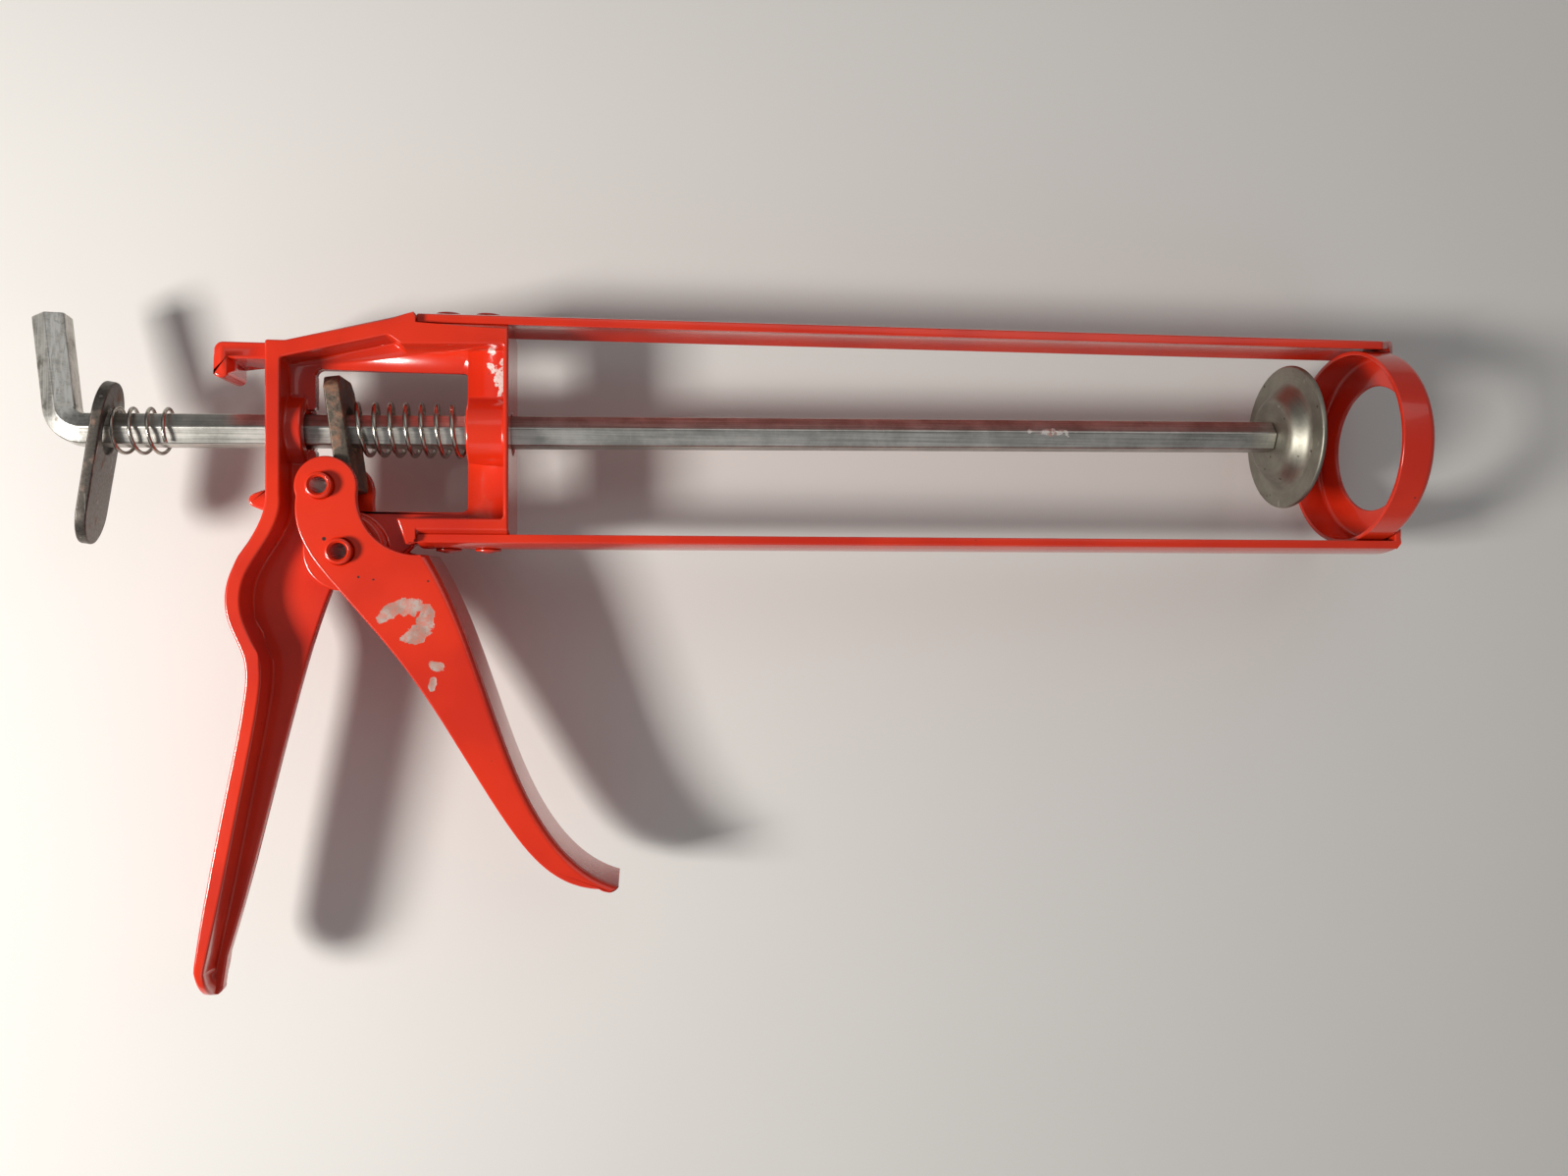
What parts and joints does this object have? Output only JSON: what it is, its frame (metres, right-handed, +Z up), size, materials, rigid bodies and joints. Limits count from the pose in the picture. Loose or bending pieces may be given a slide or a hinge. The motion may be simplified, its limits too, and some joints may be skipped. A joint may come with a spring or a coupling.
{
  "type": "caulking gun",
  "caption": "Skeleton caulking gun: cast frame with pistol handle, two rails and a nose cup, squeeze trigger, gripping plates and a hexagonal push rod.",
  "frame": {"origin": "middle of the footprint on which the gun lies on its side, at the height of that surface", "axes": "+X along the gun from the pull handle to the nose, +Y away from the pistol handle, +Z up, across the gun's thickness"},
  "size_m": [0.3516, 0.1696, 0.0528],
  "materials": {
    "red_paint": "glossy",
    "red_trigger": "glossy, chipped",
    "red_rivet": "glossy, worn rims",
    "zinc_rivet": "satin",
    "zinc_rod": "satin, streaked",
    "zinc_plate": "satin, pitted",
    "rusty_steel": "rusty",
    "spring_steel": "bright"
  },
  "bodies": {
    "frame": {"frame_body": "red_paint", "top_rail": "red_paint", "bottom_rail": "red_paint", "nose_cup": "red_paint", "top_front_rivet": "red_paint", "top_rear_rivet": "red_paint", "bottom_front_rivet": "red_paint", "bottom_rear_rivet": "red_paint", "pivot_rivet": "red_rivet", "pivot_washer_upper": "zinc_rivet", "pivot_washer_lower": "zinc_rivet", "drive_spring": "spring_steel"},
    "trigger": {"trigger": "red_trigger", "pusher_rivet": "red_rivet"},
    "drive": {"drive_plate": "rusty_steel"},
    "rod": {"plunger_rod": "zinc_rod", "plate_washer": "zinc_plate", "plate_clip": "spring_steel"},
    "pressure_plate": {"pressure_plate": "zinc_plate"},
    "release_spring": {"release_spring": "spring_steel"},
    "release_plate": {"release_plate": "rusty_steel"}
  },
  "joints": [
    {"name": "trigger_pivot", "type": "hinge", "parent": "frame", "child": "trigger", "pos_m": [-0.1006, 0.02429, 0.0264], "axis": [0, 0, 1], "range_deg": [-30, 0], "stiffness_Nm_per_rad": 0.13, "springref_deg": 20.05},
    {"name": "drive_slide", "type": "slide", "parent": "frame", "child": "drive", "axis": [1, 0, 0], "range_m": [0, 0.0086], "deforming": ["drive_spring"]},
    {"name": "rod_slide", "type": "slide", "parent": "frame", "child": "rod", "axis": [0.9999, 0.0113, 0], "range_m": [-0.195, 0.002]},
    {"name": "plate_swivel", "type": "hinge", "parent": "rod", "child": "pressure_plate", "pos_m": [0.1437, 0.05713, 0.0264], "axis": [0.9999, 0.0113, 0], "continuous": true},
    {"name": "release_slide", "type": "slide", "parent": "frame", "child": "release_spring", "axis": [0.9999, 0.0113, 0], "range_m": [0, 0.033], "deforming": ["release_spring"]},
    {"name": "release_tilt", "type": "hinge", "parent": "release_spring", "child": "release_plate", "pos_m": [-0.1576, 0.05372, 0.0264], "axis": [0, 0, 1], "range_deg": [0, 9]}
  ],
  "couplings": [
    {"joint": "drive_slide", "follows": "trigger_pivot", "m_per_rad": -0.01624}
  ]
}
